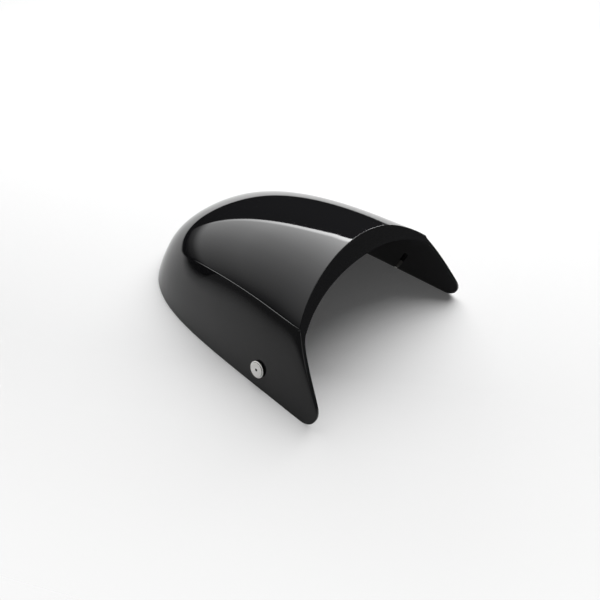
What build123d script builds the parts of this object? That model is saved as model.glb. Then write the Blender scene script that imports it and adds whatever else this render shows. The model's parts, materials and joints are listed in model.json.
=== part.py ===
from math import cos, pi, radians, sin, sqrt, tan
import os

from build123d import *

os.makedirs("parts", exist_ok=True)

# Overall sizes of the shell, in millimetres: X across, +Y towards the tail, Z up from the rim
cowl_length = 313.0
rim_width = 236.0
crown_height = 110.7
wall = 2.4

# Plan and side lines: how square the plan's rear corners are, and the length over which the crown falls
plan_squareness = 5.7
crown_fall = 240.5

# Crease between wall and deck: its size at the front shoulders, and how far short of the tail it dies out
crease_width = 186.2
crease_height = 74.0
crease_round = 1.2
crease_short = 37.0

# Form of a section: the wall's belly in front, the deck's fullness and the shoulder's place at the tail
wall_belly = 3.05
deck_fullness_front = 1.93
deck_fullness_tail = 2.82
shoulder_across_tail = 0.683
shoulder_up_tail = 0.687

# Front cut: slope of its straight part, the bend above the shoulders, the tips and the lip
front_slope = 54.4
front_bend = 115.0
tip_radius = 15.0
lip_thickness = 2.4
lip_crown_height = 92.0
lip_shoulder_height = 66.5
lip_shoulder_width = 186.0
lip_flat_width = 110.0

# Screws and washers, set square to the side walls
screw_from_front = 71.0
screw_height = 17.8
head_diameter = 16.0
head_thickness = 1.5
head_bevel = 0.4
neck_diameter = 4.1
thread_diameter = 5.0
thread_length = 11.0
thread_gap = 1.0
hole_clearance = 0.4
socket_width = 2.5
socket_depth = 2.2
washer_diameter = 16.0
washer_thickness = 2.0
washer_clearance = 0.05

# The skin runs on below the rim by this much, and in front of the tips, before it is trimmed
skirt = 20.0
overrun = 12.0
pole_gap = 0.6
stations = 7

front = -cowl_length / 2
tail = cowl_length / 2
front_corner = front - tip_radius * (1 / tan(radians(front_slope / 2)) - 1)
shoulder = front_corner + crease_height / tan(radians(front_slope))
crown_start = tail - crown_fall
crease_end = tail - crease_short
first_station = front_corner - overrun
lip_setback = lip_thickness / sin(radians(front_slope))

# Sizes of the full section at the foot of the skirt, worked back from the rim and the crease
full_height = crown_height + skirt
rim_share = skirt / (crease_height + skirt)
rim_belly = 4 * wall_belly * rim_share * (1 - rim_share)
foot_half = (rim_width / 2 - crease_width / 2 * rim_share - rim_belly) / (1 - rim_share)
pole = crown_start + (tail - crown_start) / sqrt(1 - (skirt / full_height) ** 2)

# Shares of the section at the shoulders, and the belly at the tail that leaves no crease there
shoulder_across_front = crease_width / 2 / foot_half
shoulder_up_front = (crease_height + skirt) / full_height
belly_front = 4 * wall_belly / foot_half
tail_rise = (1 - shoulder_up_tail) * deck_fullness_tail
belly_tail = shoulder_across_tail * shoulder_up_tail / tail_rise + shoulder_across_tail - 1


def closing(y, start, end, power):
    """Share of a full line that is left at station y, falling to nothing at its end."""
    travel = max(0.0, (y - start) / (end - start))
    return sqrt(1 - travel**power)


def blend(y, front_value, tail_value):
    """Value at station y: the front's at the shoulders, eased into the tail's where the crease ends."""
    left = max(0.0, (crease_end - y) / (crease_end - shoulder))
    return tail_value + (front_value - tail_value) * left**2


def between(start, end, share):
    """Point that lies the given share of the way from start to end."""
    return start + (end - start) * share


def section_points(y, inset):
    """Foot, wall pull, crease, deck pull and crown of the right half of the section at station y."""
    half = (foot_half - inset) * closing(y, front_corner, pole - inset, plan_squareness)
    height = (full_height - inset) * closing(y, crown_start, pole - inset, 2)
    across = blend(y, shoulder_across_front, shoulder_across_tail)
    up = blend(y, shoulder_up_front, shoulder_up_tail)
    belly = blend(y, belly_front, belly_tail)
    fullness = blend(y, deck_fullness_front, deck_fullness_tail)
    foot = Vector(half, -skirt)
    crease = Vector(half * across, height * up - skirt)
    crown = Vector(0, height - skirt)
    wall_pull = between(foot, crease, 0.5) + Vector(half * belly / 2, 0)
    deck_pull = Vector(crease.X * (1 - 1 / fullness), crown.Y)
    return foot, wall_pull, crease, deck_pull, crown


def skin_section(y, inset):
    """Closed section of the skin at station y, with the crease rounded off."""
    foot, wall_pull, crease, deck_pull, crown = section_points(y, inset)
    wall_share = 1 - crease_round / (2 * (crease - wall_pull).length)
    deck_share = crease_round / (2 * (deck_pull - crease).length)
    wall_mid = between(foot, wall_pull, wall_share)
    wall_end = between(wall_mid, between(wall_pull, crease, wall_share), wall_share)
    deck_mid = between(deck_pull, crown, deck_share)
    deck_end = between(between(crease, deck_pull, deck_share), deck_mid, deck_share)
    wall_curve = (foot, wall_mid, wall_end)
    crease_curve = (wall_end, crease, deck_end)
    deck_curve = (deck_end, deck_mid, crown)
    with BuildSketch(Plane.XZ.offset(-y)) as section:
        with BuildLine():
            for side in (1, -1):
                for curve in (wall_curve, crease_curve, deck_curve):
                    Bezier(*[(side * point.X, point.Y) for point in curve])
            Line((-foot.X, -skirt), (foot.X, -skirt))
        make_face()
    return section.sketch


def skin_sections(inset):
    """Sections of the skin, set in by the given amount, with the stations closing up at the tail."""
    last = pole - inset - pole_gap
    steps = [sin(pi / 2 * step / stations) for step in range(stations + 1)]
    return [skin_section(first_station + (last - first_station) * step, inset) for step in steps]


def front_profile(setback, drop):
    """Side view of all that lies behind the front cut, set back from it and reaching below the rim."""
    start = (front_corner + setback - drop / tan(radians(front_slope)), -drop)
    bend_start = (shoulder + setback, crease_height)
    heading = (cos(radians(front_slope)), sin(radians(front_slope)))
    with BuildSketch(Plane.YZ) as profile:
        with BuildLine():
            Line(start, bend_start)
            bend = JernArc(bend_start, heading, front_bend, 90 - front_slope)
            Polyline(bend @ 1, (pole, (bend @ 1).Y), (pole, -drop), start)
        make_face()
    return profile


def screw_plane(side):
    """Plane on the outside of one side wall, square to the wall where its screw goes through."""
    across = Axis((0, front + screw_from_front, screw_height), (side, 0, 0))
    seat, outward = skin.part.find_intersection_points(across)[-1]
    return Plane(seat, x_dir=(0, 1, 0), z_dir=outward)


# The whole outside, before the front and the rim are cut, and the seats of the two screws on its walls
with BuildPart() as skin:
    loft(skin_sections(0))
screw_planes = [screw_plane(side) for side in (1, -1)]

# Room for the hollow: all that lies behind the lip, and the arched opening through it
with BuildPart() as room:
    extrude(front_profile(lip_setback, skirt).sketch, amount=foot_half, both=True)
    with BuildSketch(Plane.XZ.offset(-first_station)):
        with BuildLine():
            for side in (1, -1):
                arch_end = (side * lip_shoulder_width / 2, lip_shoulder_height)
                Bezier((0, lip_crown_height), (side * lip_flat_width / 2, lip_crown_height), arch_end)
                Polyline(arch_end, (side * foot_half, lip_shoulder_height - skirt), (side * foot_half, -skirt))
            Line((-foot_half, -skirt), (foot_half, -skirt))
        make_face()
    extrude(amount=first_station - pole)

with BuildPart() as hollow:
    loft(skin_sections(wall))
    add(room.part, mode=Mode.INTERSECT)

with BuildPart() as cowl_shell:
    add(skin.part)
    with BuildSketch(Plane.YZ):
        add(front_profile(0, 0).sketch_local)
        fillet(vertices().sort_by(Axis.X)[0], tip_radius)
    extrude(amount=foot_half, both=True, mode=Mode.INTERSECT)
    add(hollow.part, mode=Mode.SUBTRACT)
    for plane in screw_planes:
        with BuildSketch(plane):
            Circle((thread_diameter + hole_clearance) / 2)
        extrude(amount=2 * wall, both=True, mode=Mode.SUBTRACT)
cowl_shell.part.label = "cowl_shell"
export_step(cowl_shell.part, "parts/cowl_shell.step")

with BuildPart() as screw_washers:
    for plane in screw_planes:
        with BuildSketch(plane.offset(washer_clearance)):
            Circle(washer_diameter / 2)
            Circle((thread_diameter + hole_clearance) / 2, mode=Mode.SUBTRACT)
        extrude(amount=washer_thickness)
screw_washers.part.label = "screw_washers"
export_step(screw_washers.part, "parts/screw_washers.step")

# Each screw: a flat head with a bevelled edge and a small hexagon socket, a neck that passes through the
# washer and the wall, and a thread that stands free inside
with BuildPart() as side_screws:
    for plane in screw_planes:
        head_seat = plane.offset(washer_clearance + washer_thickness)
        thread_start = plane.offset(-wall - thread_gap)
        with BuildSketch(head_seat):
            Circle(head_diameter / 2)
        extrude(amount=head_thickness)
        chamfer(faces().sort_by(Axis(plane.origin, plane.z_dir))[-1].edges(), head_bevel)
        with BuildSketch(head_seat):
            Circle(neck_diameter / 2)
        extrude(amount=-(washer_thickness + washer_clearance + wall + thread_gap))
        with BuildSketch(thread_start):
            Circle(thread_diameter / 2)
        extrude(amount=-thread_length)
        with BuildSketch(head_seat.offset(head_thickness)):
            RegularPolygon(socket_width / 2, 6, major_radius=False)
        extrude(amount=-socket_depth, mode=Mode.SUBTRACT)
side_screws.part.label = "side_screws"
export_step(side_screws.part, "parts/side_screws.step")
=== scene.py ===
import json
from math import atan2, cos, exp, pi, radians, sin, sqrt, tan

import bmesh
import bpy
from mathutils import Matrix, Vector


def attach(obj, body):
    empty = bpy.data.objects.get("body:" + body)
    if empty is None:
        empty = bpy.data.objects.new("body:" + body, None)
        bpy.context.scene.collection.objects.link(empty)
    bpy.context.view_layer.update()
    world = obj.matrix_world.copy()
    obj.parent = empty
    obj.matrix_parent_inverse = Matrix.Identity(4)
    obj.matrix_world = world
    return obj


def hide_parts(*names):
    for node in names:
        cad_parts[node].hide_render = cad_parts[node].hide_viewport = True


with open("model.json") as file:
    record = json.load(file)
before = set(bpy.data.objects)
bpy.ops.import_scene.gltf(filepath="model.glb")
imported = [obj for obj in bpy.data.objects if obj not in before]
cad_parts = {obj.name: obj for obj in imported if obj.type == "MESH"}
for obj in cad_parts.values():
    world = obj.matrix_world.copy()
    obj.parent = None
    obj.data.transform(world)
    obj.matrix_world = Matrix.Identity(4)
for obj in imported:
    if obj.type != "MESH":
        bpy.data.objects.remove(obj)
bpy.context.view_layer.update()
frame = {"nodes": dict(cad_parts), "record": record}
mounts = {mount["name"]: mount for mount in frame["record"]["mounts"]}
print("frame loaded:", ", ".join(sorted(frame["nodes"])))


# Shader helper: a socket that can be used in Python sums and comparisons

class Wire:
    def __init__(self, tree, socket=None):
        self.tree = tree
        self.socket = socket

    def node(self, kind, settings, sockets, output=0):
        made = self.tree.nodes.new(kind)
        for name, value in settings.items():
            if name == "stops":
                setStops(made.color_ramp, value)
            else:
                setattr(made, name, value)
        for name, value in sockets.items():
            if isinstance(value, Wire):
                self.tree.links.new(value.socket, made.inputs[name])
            else:
                made.inputs[name].default_value = value
        return Wire(self.tree, made.outputs[output] if made.outputs else None)

    def maths(self, operation, first, second):
        return self.node("ShaderNodeMath", {"operation": operation}, {0: first, 1: second})

    def __add__(self, other):
        return self.maths("ADD", self, other)

    def __radd__(self, other):
        return self.maths("ADD", other, self)

    def __sub__(self, other):
        return self.maths("SUBTRACT", self, other)

    def __rsub__(self, other):
        return self.maths("SUBTRACT", other, self)

    def __mul__(self, other):
        return self.maths("MULTIPLY", self, other)

    def __rmul__(self, other):
        return self.maths("MULTIPLY", other, self)

    def __lt__(self, other):
        return self.maths("LESS_THAN", self, other)

    def __gt__(self, other):
        return self.maths("GREATER_THAN", self, other)


def setStops(ramp, stops):
    while len(ramp.elements) < len(stops):
        ramp.elements.new(1.0)
    for element, (place, colour) in zip(ramp.elements, stops):
        element.position = place
        element.color = colour


def newMaterial(name):
    material = bpy.data.materials.new(name)
    material.use_nodes = True
    material.node_tree.nodes.clear()
    return material, Wire(material.node_tree)


def finishMaterial(wire, shader):
    wire.node("ShaderNodeOutputMaterial", {}, {"Surface": shader})


def objectPlace(wire):
    return wire.node("ShaderNodeTexCoord", {}, {}, "Object")


def partOf(wire, vector, axis):
    return wire.node("ShaderNodeSeparateXYZ", {}, {"Vector": vector}, axis)


def lengthOf(wire, vector):
    return wire.node("ShaderNodeVectorMath", {"operation": "LENGTH"}, {0: vector}, "Value")


# Mix's colour sockets come after those of its other data types
def mixColour(wire, share, first, second):
    return wire.node("ShaderNodeMix", {"data_type": "RGBA"}, {0: share, 6: first, 7: second}, 2)


def grey(level):
    return (level, level, level, 1.0)


# Finishes

glossBlack = {
    "colour": (0.0115, 0.0115, 0.0125, 1.0), "ior": 1.42, "roughness": 0.028,
    "haze": 0.02, "hazeScale": 28.0, "hazeDetail": 4.0,  # patches that are a little duller
    "peel": 0.01, "peelScale": 420.0, "peelDetail": 2.0, "peelDepth": 0.0004,  # faint ripple of the skin
}


def glossBlackFinish():
    material, wire = newMaterial("glossBlack")
    place = objectPlace(wire)
    cloud = wire.node("ShaderNodeTexNoise", {}, {
        "Vector": place, "Scale": glossBlack["hazeScale"], "Detail": glossBlack["hazeDetail"],
    })
    peel = wire.node("ShaderNodeTexNoise", {}, {
        "Vector": place, "Scale": glossBlack["peelScale"], "Detail": glossBlack["peelDetail"],
    })
    bump = wire.node("ShaderNodeBump", {}, {
        "Strength": glossBlack["peel"], "Distance": glossBlack["peelDepth"], "Height": peel,
    })
    shader = wire.node("ShaderNodeBsdfPrincipled", {}, {
        "Base Color": glossBlack["colour"],
        "Roughness": glossBlack["roughness"] + glossBlack["haze"] * cloud,
        "IOR": glossBlack["ior"],
        "Normal": bump,
    })
    finishMaterial(wire, shader)
    return material


turnedSteel = {
    "colour": (0.97, 0.96, 0.94, 1.0), "roughness": 0.52,
    # painted shade: a near-black colour in the socket and on the step of the head stands in for their shade
    "paintedShade": (0.05, 0.048, 0.045, 1.0),  # in the socket and on the step of the head
    # painted shade along the thread and the neck in the wall, but not on the thread's end
    "threadPaintedShade": (0.16, 0.155, 0.15, 1.0),
    # turning marks
    "rings": 5200.0, "ringWaver": 1.2, "ringDetail": 2.0, "ringDetailScale": 3.0,
    "ringHaze": 0.12, "ringBump": 0.08, "ringDepth": 0.00005,
    "margin": 0.0001, "socketReach": 0.00155, "stepMargin": 0.00008,  # limits of the shades
}


# Place about a screw's own axis, the same for the screws on both sides
def screwPlace(wire, seat):
    place = objectPlace(wire)
    oneSide = wire.node("ShaderNodeVectorMath", {"operation": "ABSOLUTE"}, {0: place})
    local = wire.node("ShaderNodeCombineXYZ", {}, {
        "X": partOf(wire, oneSide, "X"), "Y": partOf(wire, place, "Y"), "Z": partOf(wire, place, "Z"),
    })
    return wire.node("ShaderNodeMapping", {"vector_type": "TEXTURE"}, {
        "Vector": local, "Location": seat.to_translation(), "Rotation": seat.to_euler(),
    })


# Bright steel, with painted shade in the socket and on the step, and painted shade along the thread but not
# on its end
def steelColourWithPaintedShade(wire, turned):
    across = wire.node("ShaderNodeVectorMath", {"operation": "MULTIPLY"}, {0: turned, 1: (1, 1, 0)})
    radius = lengthOf(wire, across)
    height = partOf(wire, turned, "Z")
    margin = turnedSteel["margin"]
    stepMargin = turnedSteel["stepMargin"]
    inSocket = (radius < turnedSteel["socketReach"]) * (height < headTop - margin)
    nearStep = (radius < screw["capRadius"] + stepMargin) * (radius > screw["capRadius"] - stepMargin)
    onStep = nearStep * (height < headTop - screw["headRound"])
    onHead = height > headTop - screw["socketDepth"] - margin
    onThread = (height < 0.0) * (height > threadEnd + margin)
    paintedShadeMask = onHead * wire.maths("MAXIMUM", inSocket, onStep)
    withPaintedShade = mixColour(wire, paintedShadeMask, turnedSteel["colour"], turnedSteel["paintedShade"])
    return mixColour(wire, onThread, withPaintedShade, turnedSteel["threadPaintedShade"])


def turnedSteelFinish(seat):
    material, wire = newMaterial("turnedSteel")
    turned = screwPlace(wire, seat)
    rings = wire.node("ShaderNodeTexWave", {"wave_type": "RINGS", "rings_direction": "Z"}, {
        "Vector": turned, "Scale": turnedSteel["rings"], "Distortion": turnedSteel["ringWaver"],
        "Detail": turnedSteel["ringDetail"], "Detail Scale": turnedSteel["ringDetailScale"],
    })
    bump = wire.node("ShaderNodeBump", {}, {
        "Strength": turnedSteel["ringBump"], "Distance": turnedSteel["ringDepth"], "Height": rings,
    })
    shader = wire.node("ShaderNodeBsdfPrincipled", {}, {
        "Base Color": steelColourWithPaintedShade(wire, turned),
        "Metallic": 1.0,
        "Roughness": turnedSteel["roughness"] + turnedSteel["ringHaze"] * rings,
        "Normal": bump,
    })
    finishMaterial(wire, shader)
    return material


washerRubber = {
    "colour": (0.016, 0.016, 0.016, 1.0), "roughness": 0.55,
    "grainScale": 2400.0, "grainDetail": 3.0, "grainHaze": 0.2, "grainBump": 0.25, "grainDepth": 0.0001,
}


def washerRubberFinish():
    material, wire = newMaterial("washerRubber")
    grain = wire.node("ShaderNodeTexNoise", {}, {
        "Vector": objectPlace(wire),
        "Scale": washerRubber["grainScale"],
        "Detail": washerRubber["grainDetail"],
    })
    bump = wire.node("ShaderNodeBump", {}, {
        "Strength": washerRubber["grainBump"], "Distance": washerRubber["grainDepth"], "Height": grain,
    })
    shader = wire.node("ShaderNodeBsdfPrincipled", {}, {
        "Base Color": washerRubber["colour"],
        "Roughness": washerRubber["roughness"] + washerRubber["grainHaze"] * grain,
        "Normal": bump,
    })
    finishMaterial(wire, shader)
    return material


# Cowl shell: one grid that runs over the outside, round the front edge and lip, and back over the inside

shell = {
    "length": 0.313, "rimWidth": 0.236, "crownHeight": 0.1107, "wall": 0.0024,
    "skirt": 0.020,  # the section's lines start this far below the rim
    "planPower": 5.7, "crownFall": 0.2405,
    "creaseWidth": 0.1862, "creaseHeight": 0.074, "creaseRound": 0.0012, "creaseShort": 0.037,
    "wallBelly": 0.00305, "deckFullFront": 1.93, "deckFullTail": 2.82, "acrossTail": 0.683, "upTail": 0.687,
    # wall and deck near the crease
    "wallRoll": 0.0038, "wallRollReach": 0.0135, "wallFlat": 0.9, "wallEase": 0.8,
    "deckRoll": 0.0011, "deckRollReach": 0.0085,
    # front cut, the lip of its arch, and the narrow lip down the legs
    "frontSlope": radians(54.4), "frontBend": 0.115, "tipRadius": 0.015,
    "lipThickness": 0.0024, "lipCrown": 0.092, "lipShoulder": 0.0665, "lipShoulderWidth": 0.186,
    "lipFlatWidth": 0.110, "lipRunOut": 0.003, "lipBlend": 0.004,
    "legLip": 0.0010, "legLipStart": 0.017, "legLipRise": 0.015, "legLipMiddle": 0.25,
    # turn of the wall towards the front edge: depth, reach, and the shares at foot, deck and crease
    "edgeRoll": 0.0013, "edgeRollReach": 0.0042, "edgeRollFoot": 0.4, "edgeRollDeck": 0.05,
    "edgeRollCrease": 0.15, "edgeRollRows": 4,
    "edgeRound": 0.0005, "edgeHold": 0.0013, "edgeSegments": 3,
    # grid: columns and rows, how rows crowd towards the crease, and how soon columns even out above the foot
    "tipColumns": 16, "sideColumns": 100, "tailColumns": 36,
    "wallRows": 26, "creaseRows": 5, "deckRows": 52,
    "wallSpacing": 1.5, "deckSpacing": 1.4, "footSpread": 16, "rowStep": 0.3, "spineShort": 0.0165,
    "edgeSteps": 40, "rimCuts": 2, "mergeDistance": 2e-6, "sameDistance": 1e-7, "leastWidth": 1e-6,
    "outlineAngle": radians(35), "smoothAngle": radians(32),
}
wall = shell["wall"]
skirt = shell["skirt"]
tipRadius = shell["tipRadius"]
front = -shell["length"] / 2
tail = shell["length"] / 2
slope = shell["frontSlope"]
frontCorner = front - tipRadius * (1 / tan(slope / 2) - 1)
shoulder = frontCorner + shell["creaseHeight"] / tan(slope)
bendY = shoulder - shell["frontBend"] * sin(slope)
bendZ = shell["creaseHeight"] + shell["frontBend"] * cos(slope)
tipTop = tipRadius * (1 + cos(slope))
lipSetback = shell["lipThickness"] / sin(slope)
crownStart = tail - shell["crownFall"]
creaseEnd = tail - shell["creaseShort"]
fullHeight = shell["crownHeight"] + skirt
rimShare = skirt / (shell["creaseHeight"] + skirt)
rimBelly = 4 * shell["wallBelly"] * rimShare * (1 - rimShare)
footHalf = (shell["rimWidth"] / 2 - shell["creaseWidth"] / 2 * rimShare - rimBelly) / (1 - rimShare)
pole = crownStart + (tail - crownStart) / sqrt(1 - (skirt / fullHeight) ** 2)
acrossFront = shell["creaseWidth"] / 2 / footHalf
upFront = (shell["creaseHeight"] + skirt) / fullHeight
bellyFront = 4 * shell["wallBelly"] / footHalf
tailRise = (1 - shell["upTail"]) * shell["deckFullTail"]
bellyTail = shell["acrossTail"] * shell["upTail"] / tailRise + shell["acrossTail"] - 1
rowCount = shell["wallRows"] + shell["creaseRows"] + shell["deckRows"]
sideCount = shell["tipColumns"] + shell["sideColumns"]
skinCount = sideCount + shell["tailColumns"]
zoneCodes = {"outside": 1, "inside": 2, "lip": 3}


def closing(y, start, end, power):
    travel = max(0.0, (y - start) / (end - start))
    return sqrt(max(0.0, 1 - travel ** power))


def fade(y, frontValue, tailValue):
    left = max(0.0, (creaseEnd - y) / (creaseEnd - shoulder))
    return tailValue + (frontValue - tailValue) * left ** 2


def mix(first, second, share):
    return first + (second - first) * share


def curveAt(start, pull, end, share):
    return start * (1 - share) ** 2 + pull * (2 * share * (1 - share)) + end * share ** 2


def shareAt(start, pull, end, value):
    run = pull - start
    bend = start - 2 * pull + end
    root = sqrt(max(0.0, run * run + bend * (value - start)))
    return (value - start) / (run + (root if run > 0 else -root))


def sectionAt(y, inset):
    half = (footHalf - inset) * closing(y, frontCorner, pole - inset, shell["planPower"])
    height = (fullHeight - inset) * closing(y, crownStart, pole - inset, 2)
    foot = Vector((half, -skirt))
    crease = Vector((half * fade(y, acrossFront, shell["acrossTail"]),
                     height * fade(y, upFront, shell["upTail"]) - skirt))
    crown = Vector((0, height - skirt))
    wallPull = (foot + crease) / 2 + Vector((half * fade(y, bellyFront, bellyTail) / 2, 0))
    fullness = fade(y, shell["deckFullFront"], shell["deckFullTail"])
    deckPull = Vector((crease.x * (1 - 1 / fullness), crown.y))
    return foot, wallPull, crease, deckPull, crown


# Wall and deck both roll over towards the crease, and the wall is flatter below it
def wallAt(section, sharp, share):
    foot, wallPull, crease = section[:3]
    rimAt = skirt / (crease.y + skirt)
    span = crease - curveAt(foot, wallPull, crease, rimAt)
    left = (1 - share) / (1 - rimAt)
    belly = 2 * (wallPull - (foot + crease) / 2).length * (1 - rimAt) ** 2 * left * (1 - left)
    rolled = 1 - exp(-left * span.length / shell["wallRollReach"]) - left
    eased = min(1.0, sqrt(sharp) / shell["wallEase"])
    flattened = shell["wallFlat"] * eased ** 2 * (3 - 2 * eased) * belly
    swell = shell["wallRoll"] * sharp * rolled - flattened
    return curveAt(foot, wallPull, crease, share) + Vector((span.y, -span.x)).normalized() * swell


def deckAt(section, sharp, share):
    crease, deckPull, crown = section[2:]
    span = crown - crease
    rolled = (1 - exp(-share * span.length / shell["deckRollReach"])) * (1 - share) ** 2
    swell = shell["deckRoll"] * sharp * rolled
    return curveAt(crease, deckPull, crown, share) + Vector((span.y, -span.x)).normalized() * swell


def sectionPoint(y, inset, low, row):
    section = sectionAt(y, inset)
    wallPull, crease, deckPull = section[1:4]
    sharp = fade(y, 1.0, 0.0)
    wallEnd = 1 - shell["creaseRound"] / (2 * (crease - wallPull).length)
    deckStart = shell["creaseRound"] / (2 * (deckPull - crease).length)
    if row <= shell["wallRows"]:
        lowest = (low + skirt) / (crease.y + skirt)
        climbed = 1 - (1 - row / shell["wallRows"]) ** shell["wallSpacing"]
        return wallAt(section, sharp, mix(lowest, wallEnd, climbed))
    row -= shell["wallRows"]
    if row <= shell["creaseRows"]:
        roundStart = wallAt(section, sharp, wallEnd)
        roundEnd = deckAt(section, sharp, deckStart)
        return curveAt(roundStart, crease, roundEnd, row / shell["creaseRows"])
    row -= shell["creaseRows"]
    return deckAt(section, sharp, mix(deckStart, 1, (row / shell["deckRows"]) ** shell["deckSpacing"]))


def heightAt(x, y, inset):
    foot, wallPull, crease, deckPull, crown = sectionAt(y, inset)
    if x > crease.x:
        share = shareAt(foot.x, wallPull.x, crease.x, x)
        return curveAt(foot, wallPull, crease, share).y
    share = shareAt(crease.x, deckPull.x, crown.x, x)
    return curveAt(crease, deckPull, crown, share).y


def rimHalf(y, inset):
    foot, wallPull, crease, deckPull, crown = sectionAt(y, inset)
    if crease.y > 0:
        return curveAt(foot, wallPull, crease, skirt / (crease.y + skirt)).x
    return curveAt(crease, deckPull, crown, 1 - sqrt(max(0.0, crown.y / (crown.y - crease.y)))).x


def rimTail(inset):
    return crownStart + (pole - inset - crownStart) * sqrt(1 - (skirt / (fullHeight - inset)) ** 2)


def frontCut(z):
    if z < tipTop:
        return front + tipRadius - sqrt(max(0.0, tipRadius ** 2 - (z - tipRadius) ** 2))
    if z < shell["creaseHeight"]:
        return frontCorner + z / tan(slope)
    return bendY + sqrt(shell["frontBend"] ** 2 - (z - bendZ) ** 2)


def archHeight(x):
    endX = shell["lipShoulderWidth"] / 2
    if x > endX:
        return mix(shell["lipShoulder"], shell["lipShoulder"] - skirt, (x - endX) / (footHalf - endX))
    share = shareAt(0.0, shell["lipFlatWidth"] / 2, endX, x)
    return curveAt(shell["lipCrown"], shell["lipCrown"], shell["lipShoulder"], share)


def legShare(z):
    return min(1.0, max(0.0, (z - shell["legLipStart"]) / shell["legLipRise"]))


def lipShare(x, z):
    return max(legShare(z), min(1.0, max(0.0, (z - archHeight(x)) / shell["lipRunOut"])))


# Where each row meets the front cut: the outside on the cut itself, the inside behind the lip
def frontEdge(inset, row):
    y = shoulder
    for step in range(shell["edgeSteps"]):
        x, z = sectionPoint(y, inset, tipRadius, row)
        y = frontCut(z) + (lipSetback * lipShare(x, z) if inset else 0)
    return y


# A section's point, turned in where it lies close behind the front cut
def rolledPoint(y, inset, low, row):
    point = sectionPoint(y, inset, low, row)
    step = shell["rowStep"]
    along = sectionPoint(y, inset, low, row + step) - sectionPoint(y, inset, low, row - step)
    outward = Vector((along.y, -along.x)).normalized()
    height = min(1.0, max(0.0, point.y / shell["creaseHeight"]))
    offCrease = (row - shell["wallRows"] - shell["creaseRows"] / 2) / shell["edgeRollRows"]
    kept = shell["edgeRollDeck"]
    if offCrease <= 0:
        kept = mix(1.0, shell["edgeRollCrease"], exp(-offCrease ** 2))
    reach = shell["edgeRollReach"] * mix(shell["edgeRollFoot"], 1.0, height)
    behind = max(0.0, y - frontCut(point.y)) / reach
    return point - outward * (shell["edgeRoll"] * height * kept * exp(-behind))


def sidePoint(column, row, inset, edgeY):
    tipShare = min(1, column / shell["tipColumns"])
    turn = pi / 2 * tipShare
    sideRun = (creaseEnd - front - tipRadius) * max(0, column - shell["tipColumns"]) / shell["sideColumns"]
    evenY = front + tipRadius * tipShare + sideRun
    lowY = front + tipRadius * (1 - cos(turn)) + sideRun
    spread = 1 - (1 - min(1, row / shell["wallRows"])) ** shell["footSpread"]
    travel = (evenY - front) / (creaseEnd - front)
    y = mix(lowY, evenY, spread) + (edgeY - front) * (1 - travel) ** 2
    x, z = rolledPoint(y, inset, tipRadius * (1 - sin(turn)), row)
    return Vector((max(0.0, x), y, z))


def tailPoint(column, row, inset):
    share = (column - sideCount) / shell["tailColumns"]
    rimY = mix(creaseEnd, rimTail(inset), sin(pi / 2 * share))
    spineY = mix(creaseEnd, tail - shell["spineShort"], 1 - (1 - share) ** 2)
    sideShare = 1 - sectionPoint(creaseEnd, inset, 0, row).x / rimHalf(creaseEnd, inset)
    across = mix(sideShare, row / rowCount, share)
    x = rimHalf(rimY, inset) * (1 - across)
    y = mix(rimY, spineY, across)
    return Vector((x, y, heightAt(x, y, inset)))


def skinPoints(inset):
    points = {}
    for row in range(rowCount + 1):
        edgeY = frontEdge(inset, row)
        for column in range(skinCount + 1):
            if column <= sideCount:
                points[column, row] = sidePoint(column, row, inset, edgeY)
            else:
                points[column, row] = tailPoint(column, row, inset)
    return points


# The lower of two heights, with a rounded change from one to the other
def lowerOf(first, second):
    blend = shell["lipBlend"]
    share = min(1.0, max(0.0, 0.5 + (second - first) / (2 * blend)))
    return mix(second, first, share) - blend * share * (1 - share)


# Inner edge of the lip in front: on the arch, down the leg, and none at the tip
def lipEdge(inner):
    if lipShare(inner.x, inner.z) == 0:
        return inner.copy()
    middle = min(1.0, inner.x / (footHalf * shell["legLipMiddle"]))
    x = inner.x - shell["legLip"] * legShare(inner.z) * middle
    z = lowerOf(inner.z, archHeight(x))
    return Vector((x, frontCut(z), z))


# Across the front: two columns on the cut, the lip's two edges, and one column on the lip's back
def lipPoints(outside, inside):
    points = {}
    for row in range(rowCount + 1):
        outer = outside[0, row]
        inner = inside[0, row]
        arch = lipEdge(inner)
        reach = min(1 / 3, shell["edgeHold"] / max(shell["leastWidth"], (arch - outer).length))
        for column, share in ((1, reach), (2, 1 - reach)):
            x, z = mix(outer.xz, arch.xz, share)
            points[column, row] = Vector((x, frontCut(z), z))
        points[3, row] = arch
        points[4, row] = arch + Vector((0, lipSetback * lipShare(inner.x, inner.z), 0))
        points[5, row] = mix(points[4, row], inner, 0.5)
    return points


# Order of the columns round the grid: outside left to right, right lip, inside right to left, left lip
def ringColumns():
    lipColumns = range(1, 6)
    ring = [("outside", -1, column) for column in range(skinCount)]
    ring += [("outside", 1, column) for column in range(skinCount, -1, -1)]
    ring += [("lip", 1, column) for column in lipColumns]
    ring += [("inside", 1, column) for column in range(skinCount)]
    ring += [("inside", -1, column) for column in range(skinCount, -1, -1)]
    ring += [("lip", -1, column) for column in reversed(lipColumns)]
    return ring + ring[:1]


def newObject(name, bm, material, smoothAngle=radians(30)):
    mesh = bpy.data.meshes.new(name)
    bm.to_mesh(mesh)
    bm.free()
    mesh.shade_smooth()
    mesh.set_sharp_from_angle(angle=smoothAngle)
    mesh.materials.append(material)
    piece = bpy.data.objects.new(name, mesh)
    bpy.context.scene.collection.objects.link(piece)
    return piece


def zonesOf(edge, layer):
    return {vert[layer] for vert in edge.verts}


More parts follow.
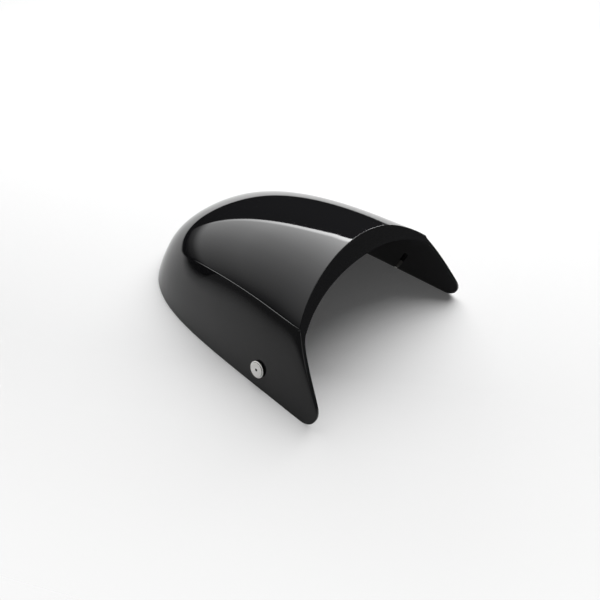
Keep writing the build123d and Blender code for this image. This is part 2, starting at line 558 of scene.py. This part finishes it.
def buildShell(material):
    outside = skinPoints(0)
    inside = skinPoints(wall)
    zones = {"outside": outside, "inside": inside, "lip": lipPoints(outside, inside)}
    ring = ringColumns()
    bm = bmesh.new()
    bmesh.ops.create_grid(bm, x_segments=len(ring) - 1, y_segments=rowCount, size=1)
    zoneOf = bm.verts.layers.int.new("zone")
    for vert in bm.verts:
        zone, side, column = ring[round((vert.co.x + 1) / 2 * (len(ring) - 1))]
        row = round((vert.co.y + 1) / 2 * rowCount)
        point = zones[zone][column, row]
        vert.co = (side * point.x, point.y, point.z)
        vert[zoneOf] = zoneCodes[zone]
        if zone == "lip" and (point - inside[0, row]).length < shell["sameDistance"]:  # no lip at this row
            vert[zoneOf] = zoneCodes["inside"]
    bmesh.ops.remove_doubles(bm, verts=bm.verts, dist=shell["mergeDistance"])
    # the rim: a flat strip between the outside and the inside
    outsideOnly = {zoneCodes["outside"]}
    insideOnly = {zoneCodes["inside"]}
    rimEdges = [edge for edge in bm.edges
                if edge.is_boundary and zonesOf(edge, zoneOf) in (outsideOnly, insideOnly)]
    bmesh.ops.bridge_loops(bm, edges=rimEdges)
    across = [edge for edge in bm.edges if zonesOf(edge, zoneOf) == outsideOnly | insideOnly]
    bmesh.ops.subdivide_edges(bm, edges=across, cuts=shell["rimCuts"], use_grid_fill=True)
    bmesh.ops.remove_doubles(bm, verts=bm.verts, dist=shell["mergeDistance"])
    bmesh.ops.recalc_face_normals(bm, faces=bm.faces)
    openEdges = [edge for edge in bm.edges if not edge.is_manifold]
    print("shell grid:", len(bm.faces), "faces,", len(openEdges), "open edges")
    outline = [edge for edge in bm.edges if zonesOf(edge, zoneOf) == outsideOnly
               and edge.is_manifold and edge.calc_face_angle() > shell["outlineAngle"]]
    bmesh.ops.bevel(bm, geom=outline, offset=shell["edgeRound"], offset_type="OFFSET", affect="EDGES",
                    segments=shell["edgeSegments"], profile=0.5, material=-1, clamp_overlap=True)
    return newObject("cowlShell", bm, material, shell["smoothAngle"])


# Screws and washers, one pair of each, turned about the axes that the frame gives for the screws

screw = {
    "headRadius": 0.008, "headThickness": 0.0012, "flange": 0.0006, "capRadius": 0.0068,
    "headRound": 0.0002,
    "socketWidth": 0.0025, "socketDepth": 0.0022, "neckRadius": 0.00205,
    "threadGap": 0.001, "threadRadius": 0.0025, "threadDepth": 0.00045, "tipBevel": 0.0004,
    "pitch": 0.0008, "crestStart": 0.42, "crestEnd": 0.58, "turnSteps": 20,  # crest in shares of the pitch
    "segments": 72, "roundSegments": 4, "smoothAngle": radians(35),
}
washer = {
    "radius": 0.0072, "thickness": 0.0007, "boreRadius": 0.0027, "clearance": 0.00005, "round": 0.0003,
}
threadLength = mounts["right_screw"]["dims"]["length_mm"] / 1000
threadRoot = screw["threadRadius"] - screw["threadDepth"]
threadTop = -wall - screw["threadGap"]
threadEnd = threadTop - threadLength
headSeat = washer["clearance"] + washer["thickness"]
headTop = headSeat + screw["headThickness"]
ringMargin = 1e-6  # a vertex this close to a ring lies on it
seamGap = 1e-7


def seatMatrix(name):
    outward = -Vector(mounts[name]["axis"])
    wallPoint = Vector(mounts[name]["pos_m"]) + outward * (threadLength / 2 + screw["threadGap"] + wall)
    along = Vector((0, 1, 0))
    along = (along - outward * along.dot(outward)).normalized()
    upward = outward.cross(along)
    turned = Matrix((along, upward, outward)).transposed().to_4x4()
    turned.translation = wallPoint
    return turned


def lathe(bm, profile, segments):
    verts = [bm.verts.new((radius, 0, height)) for radius, height in profile]
    edges = [bm.edges.new(pair) for pair in zip(verts, verts[1:])]
    bmesh.ops.spin(bm, geom=verts + edges, cent=(0, 0, 0), axis=(0, 0, 1), dvec=(0, 0, 0),
                   angle=2 * pi, steps=segments, use_merge=True, use_duplicate=False)
    bmesh.ops.remove_doubles(bm, verts=bm.verts, dist=seamGap)
    bmesh.ops.recalc_face_normals(bm, faces=bm.faces)


def onRing(vert, radius, heights):
    offHeight = min(abs(vert.co.z - height) for height in heights)
    return abs(vert.co.xy.length - radius) < ringMargin and offHeight < ringMargin


def bevelRings(bm, radius, heights, size):
    ringEdges = [edge for edge in bm.edges if all(onRing(vert, radius, heights) for vert in edge.verts)]
    bmesh.ops.bevel(bm, geom=ringEdges, offset=size, offset_type="OFFSET", affect="EDGES",
                    segments=screw["roundSegments"], profile=0.5, material=-1, clamp_overlap=True)


def placeTwice(bm):
    copies = bmesh.new()
    for name in ("right_screw", "left_screw"):
        turned = bm.copy()
        turned.transform(seatMatrix(name))
        mesh = bpy.data.meshes.new("turned")
        turned.to_mesh(mesh)
        turned.free()
        copies.from_mesh(mesh)
        bpy.data.meshes.remove(mesh)
    bm.free()
    return copies


def buildWashers(material):
    bm = bmesh.new()
    low = washer["clearance"]
    high = headSeat
    lathe(bm, [(washer["boreRadius"], low), (washer["radius"], low), (washer["radius"], high),
               (washer["boreRadius"], high), (washer["boreRadius"], low)], screw["segments"])
    bevelRings(bm, washer["radius"], (low, high), washer["round"])
    return newObject("screwWashers", placeTwice(bm), material, screw["smoothAngle"])


# The thread: a rib that winds down the shank
def addThread(bm):
    turns = threadLength / screw["pitch"] - 1
    steps = round(turns * screw["turnSteps"])
    crest = screw["threadRadius"]
    profile = (
        (threadRoot, 0.0), (crest, screw["crestStart"]), (crest, screw["crestEnd"]), (threadRoot, 1.0),
    )
    rib = [bm.verts.new((radius, 0, threadTop - screw["pitch"] * share)) for radius, share in profile]
    edges = [bm.edges.new(pair) for pair in zip(rib, rib[1:] + rib[:1])]
    ribEnd = bm.faces.new(rib)
    bmesh.ops.spin(bm, geom=rib + edges + [ribEnd], cent=(0, 0, 0), axis=(0, 0, 1),
                   dvec=(0, 0, -screw["pitch"] * turns / steps), angle=2 * pi * turns, steps=steps,
                   use_duplicate=False)
    bmesh.ops.recalc_face_normals(bm, faces=bm.faces)


# The round socket from the lathe is pushed out to six flat sides
def hexagonSocket(bm, radius):
    side = pi / 3
    for vert in bm.verts:
        if abs(vert.co.xy.length - radius) < ringMargin:
            angle = atan2(vert.co.y, vert.co.x) + 2 * pi
            stretch = 1 / cos((angle + side / 2) % side - side / 2)
            vert.co.x *= stretch
            vert.co.y *= stretch


def buildScrews(material):
    bm = bmesh.new()
    step = headSeat + screw["flange"]
    mouth = screw["socketWidth"] / 2
    socketFloor = headTop - screw["socketDepth"]
    tipBevel = screw["tipBevel"]
    shank = [(0, threadEnd), (threadRoot - tipBevel, threadEnd), (threadRoot, threadEnd + tipBevel),
             (threadRoot, threadTop), (screw["neckRadius"], threadTop), (screw["neckRadius"], headSeat)]
    head = [(screw["headRadius"], headSeat), (screw["headRadius"], step), (screw["capRadius"], step),
            (screw["capRadius"], headTop), (mouth, headTop), (mouth, socketFloor), (0, socketFloor)]
    lathe(bm, shank + head, screw["segments"])
    bevelRings(bm, screw["headRadius"], (headSeat, step), screw["headRound"])
    hexagonSocket(bm, mouth)
    bevelRings(bm, screw["capRadius"], (headTop,), screw["headRound"])
    addThread(bm)
    return newObject("sideScrews", placeTwice(bm), material, screw["smoothAngle"])


shellPiece = buildShell(glossBlackFinish())
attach(shellPiece, "root")
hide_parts("cowl_shell")
print("shell built:", len(shellPiece.data.polygons), "faces")

washerPiece = buildWashers(washerRubberFinish())
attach(washerPiece, "root")
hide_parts("screw_washers")

screwPiece = buildScrews(turnedSteelFinish(seatMatrix("right_screw")))
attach(screwPiece, "root")
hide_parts("side_screws")
print("screws and washers built")


# Studio: a pale floor that fades into white, dim surroundings, and one soft lamp above on the right.
# A large panel behind, a narrow strip on the left and two soft cards in front show in reflections only

aim = Vector((0, 0, 0.08))


# Stops are pairs of a place on the span and a level
def rampOf(wire, value, span, stops):
    low, high = span
    share = (value - low) * (1 / (high - low))
    levels = tuple(((place - low) / (high - low), grey(level)) for place, level in stops)
    return wire.node("ShaderNodeValToRGB", {"stops": levels}, {"Fac": share})


floor = {
    # the floor's faint glow is painted fill light, which lifts the shade under and inside the cowl
    "radius": 2.6, "segments": 96, "colour": 0.92, "roughness": 0.9, "shine": 0.2, "paintedFillGlow": 0.04,
    "fadeCentre": (0.3, 0.4, 0), "fadeStretch": (1.15, 1.6, 1),
    "fadeStops": ((0.56, 1.0), (0.69, 0.7), (0.9, 0.4), (1.15, 0.14), (1.55, 0.0)),
    "sideHeading": (-0.83, -0.55, 0),
    "sideStops": ((0.12, 1.0), (0.2, 0.64), (0.3, 0.36), (0.45, 0.13), (0.7, 0.0)),
    "frontHeading": (0.3, -0.95, 0),
    "frontStops": ((0.24, 1.0), (0.42, 0.4), (0.65, 0.0)),
    "headingSpan": (0.0, 0.8),
}


# How the floor thins out towards one heading
def headingFade(wire, place, heading, stops):
    ahead = wire.node("ShaderNodeVectorMath", {"operation": "DOT_PRODUCT"}, {0: place, 1: heading}, "Value")
    return rampOf(wire, ahead, floor["headingSpan"], stops)


def buildFloor():
    material, wire = newMaterial("paleFloor")
    place = objectPlace(wire)
    centred = wire.node("ShaderNodeMapping", {"vector_type": "TEXTURE"}, {
        "Vector": place, "Location": floor["fadeCentre"], "Scale": floor["fadeStretch"],
    })
    fading = rampOf(wire, lengthOf(wire, centred), (0.0, floor["radius"]), floor["fadeStops"])
    sideFading = headingFade(wire, place, floor["sideHeading"], floor["sideStops"])
    frontFading = headingFade(wire, place, floor["frontHeading"], floor["frontStops"])
    shader = wire.node("ShaderNodeBsdfPrincipled", {}, {
        "Base Color": grey(floor["colour"]),
        "Roughness": floor["roughness"],
        "Specular IOR Level": floor["shine"],
        "Alpha": fading * sideFading * frontFading,
        "Emission Color": grey(1.0),
        "Emission Strength": floor["paintedFillGlow"],
    })
    finishMaterial(wire, shader)
    bm = bmesh.new()
    bmesh.ops.create_circle(bm, cap_ends=True, segments=floor["segments"], radius=floor["radius"])
    return newObject("floor", bm, material)


def lightFinish(material, wire, level):
    shader = wire.node("ShaderNodeEmission", {}, {"Color": level, "Strength": 1.0})
    finishMaterial(wire, shader)
    return material


surround = {"level": 0.11, "radius": 8.0, "columns": 32, "rows": 16}


def buildSurround():
    material, wire = newMaterial("dimSurround")
    lightFinish(material, wire, grey(surround["level"]))
    bm = bmesh.new()
    bmesh.ops.create_uvsphere(bm, u_segments=surround["columns"], v_segments=surround["rows"],
                              radius=surround["radius"])
    sphere = newObject("dimSurround", bm, material)
    sphere.visible_camera = False
    return sphere


backPanel = {
    "azimuth": radians(15), "height": radians(32), "distance": 1.5, "size": (4.4, 3.0),
    "peak": 9.0, "border": 0.9, "line": (-0.262, 1.634, -0.905),  # the line that its lit part ends on
    "acrossSpan": (-2.15, 0.95),
    "acrossStops": ((-2.1, 0.0), (-1.75, 0.03), (-1.45, 0.08), (-1.0, 0.15), (-0.6, 0.235), (-0.2, 0.36),
                    (0.2, 0.555), (0.6, 0.80), (0.95, 1.0)),
    "lowSpan": (-0.95, 0.15),
    "lowStops": ((-0.9, 0.0), (-0.72, 0.12), (-0.55, 0.58), (-0.25, 0.78), (0.1, 1.0)),
    "lineSpan": (-0.05, 0.45), "edgeStops": ((0.0, 0.0), (0.015, 1.0)),
    "borderStops": ((0.0, 0.0), (0.015, 1.0), (0.09, 1.0), (0.15, 0.0)),
    "keptSpan": (-0.75, 0.25), "keptStops": ((-0.7, 0.0), (-0.4, 0.25), (0.2, 1.0)),
}


def backPanelFinish():
    material, wire = newMaterial("backPanel")
    place = objectPlace(wire)
    across = partOf(wire, place, "X")
    up = partOf(wire, place, "Y")
    start, rise, bend = backPanel["line"]
    inside = up - (start + rise * across + bend * (across * across))
    level = rampOf(wire, across, backPanel["acrossSpan"], backPanel["acrossStops"])
    low = rampOf(wire, up, backPanel["lowSpan"], backPanel["lowStops"])
    edge = rampOf(wire, inside, backPanel["lineSpan"], backPanel["edgeStops"])
    border = rampOf(wire, inside, backPanel["lineSpan"], backPanel["borderStops"])
    kept = rampOf(wire, up, backPanel["keptSpan"], backPanel["keptStops"])
    lit = edge + backPanel["border"] * kept * border
    return lightFinish(material, wire, backPanel["peak"] * level * low * lit)


leftStrip = {
    "start": (-1.24, 0.85, 0.49), "end": (-0.70, 1.443, 0.14), "spare": 0.12, "width": 0.19, "level": 4.4,
    "widthStops": ((-1.0, 1.0), (0.6, 0.3), (1.0, 0.2)),  # in shares of half its length
    "levelStops": ((-1.0, 0.0), (-0.7, 1.0), (0.5, 0.8), (0.9, 0.0)),
    "beamSpan": (-0.02, 0.01), "beamStops": ((-0.02, 1.0), (0.0, 0.0)),
}


def leftStripFinish(half):
    material, wire = newMaterial("leftStrip")
    place = objectPlace(wire)
    along = partOf(wire, place, "X") * (1 / half)
    offCentre = wire.node("ShaderNodeMath", {"operation": "ABSOLUTE"}, {0: partOf(wire, place, "Y")})
    narrowing = rampOf(wire, along, (-1.0, 1.0), leftStrip["widthStops"])
    beyond = offCentre - leftStrip["width"] / 2 * narrowing
    beam = rampOf(wire, beyond, leftStrip["beamSpan"], leftStrip["beamStops"])
    level = rampOf(wire, along, (-1.0, 1.0), leftStrip["levelStops"])
    return lightFinish(material, wire, leftStrip["level"] * level * beam)


topCard = {
    "azimuth": radians(130), "height": radians(62), "distance": 1.5, "size": (2.4, 2.0), "level": 4.0,
}
frontCard = {
    "azimuth": radians(-128), "height": radians(26), "distance": 1.5, "size": (0.8, 0.9), "level": 3.5,
}
cardStops = ((0.3, 1.0), (0.7, 0.4), (0.98, 0.0))  # in shares of the way to the nearer edge


def softCardFinish(name, card):
    material, wire = newMaterial(name)
    away = lengthOf(wire, objectPlace(wire)) * (2 / min(card["size"]))
    return lightFinish(material, wire, card["level"] * rampOf(wire, away, (0.0, 1.0), cardStops))


def buildPanel(name, size, place, facing, material):
    bm = bmesh.new()
    bmesh.ops.create_grid(bm, x_segments=1, y_segments=1, size=0.5)
    bmesh.ops.scale(bm, verts=bm.verts, vec=(size[0], size[1], 1))
    panel = newObject(name, bm, material)
    panel.location = place
    panel.rotation_euler = facing.to_euler()
    panel.visible_camera = False
    panel.visible_diffuse = False
    panel.visible_shadow = False
    return panel


def cardPlace(card):
    level = cos(card["height"])
    towards = Vector((sin(card["azimuth"]) * level, cos(card["azimuth"]) * level, sin(card["height"])))
    return aim + towards * card["distance"], (-towards).to_track_quat("Z", "Y")


def buildBackPanel():
    place, facing = cardPlace(backPanel)
    return buildPanel("backPanel", backPanel["size"], place, facing, backPanelFinish())


def buildSoftCard(name, card):
    place, facing = cardPlace(card)
    return buildPanel(name, card["size"], place, facing, softCardFinish(name, card))


def buildLeftStrip():
    start = Vector(leftStrip["start"])
    end = Vector(leftStrip["end"])
    along = (end - start).normalized()
    place = (start + end) / 2
    towards = (aim - place).normalized()
    up = towards.cross(along).normalized()
    facing = Matrix((along, up, along.cross(up))).transposed()
    length = (end - start).length + 2 * leftStrip["spare"]
    size = (length, leftStrip["width"])
    return buildPanel("leftStrip", size, place, facing, leftStripFinish(length / 2))


topLight = {"power": 86.0, "size": 3.0, "place": (1.2, 0.7, 1.7)}


def buildTopLight():
    lamp = bpy.data.lights.new("topLight", "AREA")
    lamp.energy = topLight["power"]
    lamp.size = topLight["size"]
    holder = bpy.data.objects.new("topLight", lamp)
    holder.location = topLight["place"]
    holder.rotation_euler = (Vector(topLight["place"]) - aim).to_track_quat("Z", "Y").to_euler()
    holder.visible_glossy = False
    bpy.context.scene.collection.objects.link(holder)


# White for the camera's own rays, and for glossy and clear ones where the surroundings don't hide it
def buildWorld():
    world = bpy.data.worlds.new("whiteGround")
    world.use_nodes = True
    world.node_tree.nodes.clear()
    wire = Wire(world.node_tree)
    seen = wire.node("ShaderNodeLightPath", {}, {}, "Is Camera Ray")
    shiny = wire.node("ShaderNodeLightPath", {}, {}, "Is Glossy Ray")
    clear = wire.node("ShaderNodeLightPath", {}, {}, "Is Transmission Ray")
    white = wire.maths("MINIMUM", seen + shiny + clear, 1.0)
    ground = wire.node("ShaderNodeBackground", {}, {"Color": grey(1.0), "Strength": white})
    wire.node("ShaderNodeOutputWorld", {}, {"Surface": ground})
    bpy.context.scene.world = world


buildFloor()
buildSurround()
buildBackPanel()
buildLeftStrip()
buildSoftCard("topCard", topCard)
buildSoftCard("frontCard", frontCard)
buildTopLight()
buildWorld()
print("studio set")


# Camera at the photograph's angle

view = {
    "place": (-0.29151, -0.30520, 0.34330), "down": radians(41.04), "towardsRight": radians(46.69),
    "lens": 28.8, "sensor": 36.0, "nearest": 0.01,
}
cameraData = bpy.data.cameras.new("camera")
cameraData.lens = view["lens"]
cameraData.sensor_width = view["sensor"]
cameraData.clip_start = view["nearest"]
camera = bpy.data.objects.new("camera", cameraData)
camera.location = view["place"]
camera.rotation_euler = (pi / 2 - view["down"], 0, -view["towardsRight"])
bpy.context.scene.collection.objects.link(camera)
bpy.context.scene.camera = camera
bpy.context.scene.view_settings.view_transform = "Standard"
